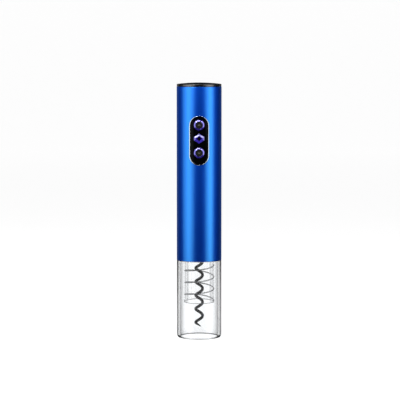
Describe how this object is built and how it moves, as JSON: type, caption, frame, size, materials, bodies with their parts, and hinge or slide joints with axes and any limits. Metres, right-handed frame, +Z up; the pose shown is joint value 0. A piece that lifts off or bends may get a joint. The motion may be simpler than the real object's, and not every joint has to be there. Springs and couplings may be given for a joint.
{
  "type": "electric wine opener",
  "caption": "Slim cordless wine opener: a blue metal handle with a two-button keypad, a motor-driven worm in a clear housing, and a battery cap on top.",
  "frame": {"origin": "centre of the clear housing's lower rim, on the surface that the opener stands on", "axes": "+Z up along the body and the worm, towards the battery cap; the keypad faces -Y"},
  "size_m": [0.0466, 0.0477, 0.265],
  "materials": {
    "anodised_blue": "satin",
    "gloss_black": "gloss",
    "moulded_black": "matte",
    "moulded_grey": "matte",
    "clear_polycarbonate": "gloss",
    "coated_worm": "satin",
    "bright_rim": "polished",
    "violet_chrome": "gloss",
    "violet_lens": "gloss",
    "button_olive": "matte",
    "board_green": "satin",
    "diode_white": "satin",
    "seal_rubber": "matte",
    "screw_steel": "satin",
    "motor_steel": "satin",
    "gear_steel": "satin",
    "gear_acetal": "satin",
    "bush_bronze": "satin",
    "contact_nickel": "polished",
    "cell_jacket": "satin",
    "lead_red": "satin",
    "lead_black": "satin"
  },
  "bodies": {
    "handle": {"sleeve": "anodised_blue", "keypad_bezel": "bright_rim", "keypad_panel": "gloss_black", "lamp_lens": "violet_lens", "circuit_board": "board_green", "up_switch": "moulded_black", "down_switch": "moulded_black", "lamp_diode": "diode_white", "battery_cage": "moulded_grey", "cell_1": "cell_jacket", "cell_2": "cell_jacket", "cell_3": "cell_jacket", "cell_4": "cell_jacket", "positive_contact": "contact_nickel", "negative_contact": "contact_nickel", "cell_bridge": "contact_nickel", "chassis_front": "moulded_grey", "chassis_rear": "moulded_grey", "chassis_screw_left": "screw_steel", "chassis_screw_right": "screw_steel", "motor_can": "motor_steel", "motor_end_cap": "moulded_black", "motor_screw_left": "screw_steel", "motor_screw_right": "screw_steel", "motor_lead_red": "lead_red", "motor_lead_black": "lead_black", "gear_case": "moulded_grey", "gearbox_lid": "moulded_grey", "bulkhead": "moulded_black", "output_bush": "bush_bronze", "through_bolt_1": "screw_steel", "through_bolt_2": "screw_steel", "through_bolt_3": "screw_steel", "clear_housing": "clear_polycarbonate", "cork_guide": "clear_polycarbonate"},
    "up_button": {"up_button": "violet_chrome", "up_button_face": "button_olive"},
    "down_button": {"down_button": "violet_chrome", "down_button_face": "button_olive"},
    "worm": {"worm": "coated_worm", "output_carrier": "gear_steel", "retaining_clip": "screw_steel"},
    "second_carrier": {"second_carrier": "gear_steel"},
    "first_carrier": {"first_carrier": "gear_steel"},
    "rotor": {"motor_pinion": "gear_steel"},
    "output_planet_1": {"output_planet_1": "gear_steel"},
    "output_planet_2": {"output_planet_2": "gear_steel"},
    "output_planet_3": {"output_planet_3": "gear_steel"},
    "second_planet_1": {"second_planet_1": "gear_acetal"},
    "second_planet_2": {"second_planet_2": "gear_acetal"},
    "second_planet_3": {"second_planet_3": "gear_acetal"},
    "first_planet_1": {"first_planet_1": "gear_acetal"},
    "first_planet_2": {"first_planet_2": "gear_acetal"},
    "first_planet_3": {"first_planet_3": "gear_acetal"},
    "contact_plate": {"contact_plate": "moulded_black", "cap_bridge_left": "contact_nickel", "cap_bridge_right": "contact_nickel"},
    "cap": {"top_cap": "gloss_black", "cap_seal": "seal_rubber", "cap_screw": "screw_steel"}
  },
  "joints": [
    {"name": "up_press", "type": "slide", "parent": "handle", "child": "up_button", "axis": [0, 1, 0], "range_m": [0, 0.0004], "stiffness_N_per_m": 2000},
    {"name": "down_press", "type": "slide", "parent": "handle", "child": "down_button", "axis": [0, 1, 0], "range_m": [0, 0.0004], "stiffness_N_per_m": 2000},
    {"name": "cap_lift", "type": "slide", "parent": "handle", "child": "contact_plate", "axis": [0, 0, 1], "range_m": [0, 0.012]},
    {"name": "cap_twist", "type": "hinge", "parent": "contact_plate", "child": "cap", "pos_m": [0, 0, 0.26], "axis": [0, 0, 1], "range_deg": [0, 30]},
    {"name": "worm_spin", "type": "hinge", "parent": "handle", "child": "worm", "pos_m": [0, 0, 0.09], "axis": [0, 0, 1], "continuous": true},
    {"name": "second_carrier_spin", "type": "hinge", "parent": "handle", "child": "second_carrier", "pos_m": [0, 0, 0.102], "axis": [0, 0, 1], "continuous": true},
    {"name": "first_carrier_spin", "type": "hinge", "parent": "handle", "child": "first_carrier", "pos_m": [0, 0, 0.111], "axis": [0, 0, 1], "continuous": true},
    {"name": "rotor_spin", "type": "hinge", "parent": "handle", "child": "rotor", "pos_m": [0, 0, 0.12], "axis": [0, 0, 1], "continuous": true},
    {"name": "output_planet_1_spin", "type": "hinge", "parent": "worm", "child": "output_planet_1", "pos_m": [0.00825, 0, 0.098], "axis": [0, 0, 1], "continuous": true},
    {"name": "output_planet_2_spin", "type": "hinge", "parent": "worm", "child": "output_planet_2", "pos_m": [-0.00413, 0.00714, 0.098], "axis": [0, 0, 1], "continuous": true},
    {"name": "output_planet_3_spin", "type": "hinge", "parent": "worm", "child": "output_planet_3", "pos_m": [-0.00413, -0.00714, 0.098], "axis": [0, 0, 1], "continuous": true},
    {"name": "second_planet_1_spin", "type": "hinge", "parent": "second_carrier", "child": "second_planet_1", "pos_m": [0.00825, 0, 0.107], "axis": [0, 0, 1], "continuous": true},
    {"name": "second_planet_2_spin", "type": "hinge", "parent": "second_carrier", "child": "second_planet_2", "pos_m": [-0.00413, 0.00714, 0.107], "axis": [0, 0, 1], "continuous": true},
    {"name": "second_planet_3_spin", "type": "hinge", "parent": "second_carrier", "child": "second_planet_3", "pos_m": [-0.00413, -0.00714, 0.107], "axis": [0, 0, 1], "continuous": true},
    {"name": "first_planet_1_spin", "type": "hinge", "parent": "first_carrier", "child": "first_planet_1", "pos_m": [0.00825, 0, 0.116], "axis": [0, 0, 1], "continuous": true},
    {"name": "first_planet_2_spin", "type": "hinge", "parent": "first_carrier", "child": "first_planet_2", "pos_m": [-0.00413, 0.00714, 0.116], "axis": [0, 0, 1], "continuous": true},
    {"name": "first_planet_3_spin", "type": "hinge", "parent": "first_carrier", "child": "first_planet_3", "pos_m": [-0.00413, -0.00714, 0.116], "axis": [0, 0, 1], "continuous": true}
  ],
  "couplings": [
    {"joint": "second_carrier_spin", "follows": "worm_spin", "ratio": 5},
    {"joint": "first_carrier_spin", "follows": "worm_spin", "ratio": 25},
    {"joint": "rotor_spin", "follows": "worm_spin", "ratio": 125},
    {"joint": "output_planet_1_spin", "follows": "worm_spin", "ratio": -2.6667},
    {"joint": "output_planet_2_spin", "follows": "worm_spin", "ratio": -2.6667},
    {"joint": "output_planet_3_spin", "follows": "worm_spin", "ratio": -2.6667},
    {"joint": "second_planet_1_spin", "follows": "worm_spin", "ratio": -13.333},
    {"joint": "second_planet_2_spin", "follows": "worm_spin", "ratio": -13.333},
    {"joint": "second_planet_3_spin", "follows": "worm_spin", "ratio": -13.333},
    {"joint": "first_planet_1_spin", "follows": "worm_spin", "ratio": -66.667},
    {"joint": "first_planet_2_spin", "follows": "worm_spin", "ratio": -66.667},
    {"joint": "first_planet_3_spin", "follows": "worm_spin", "ratio": -66.667}
  ]
}
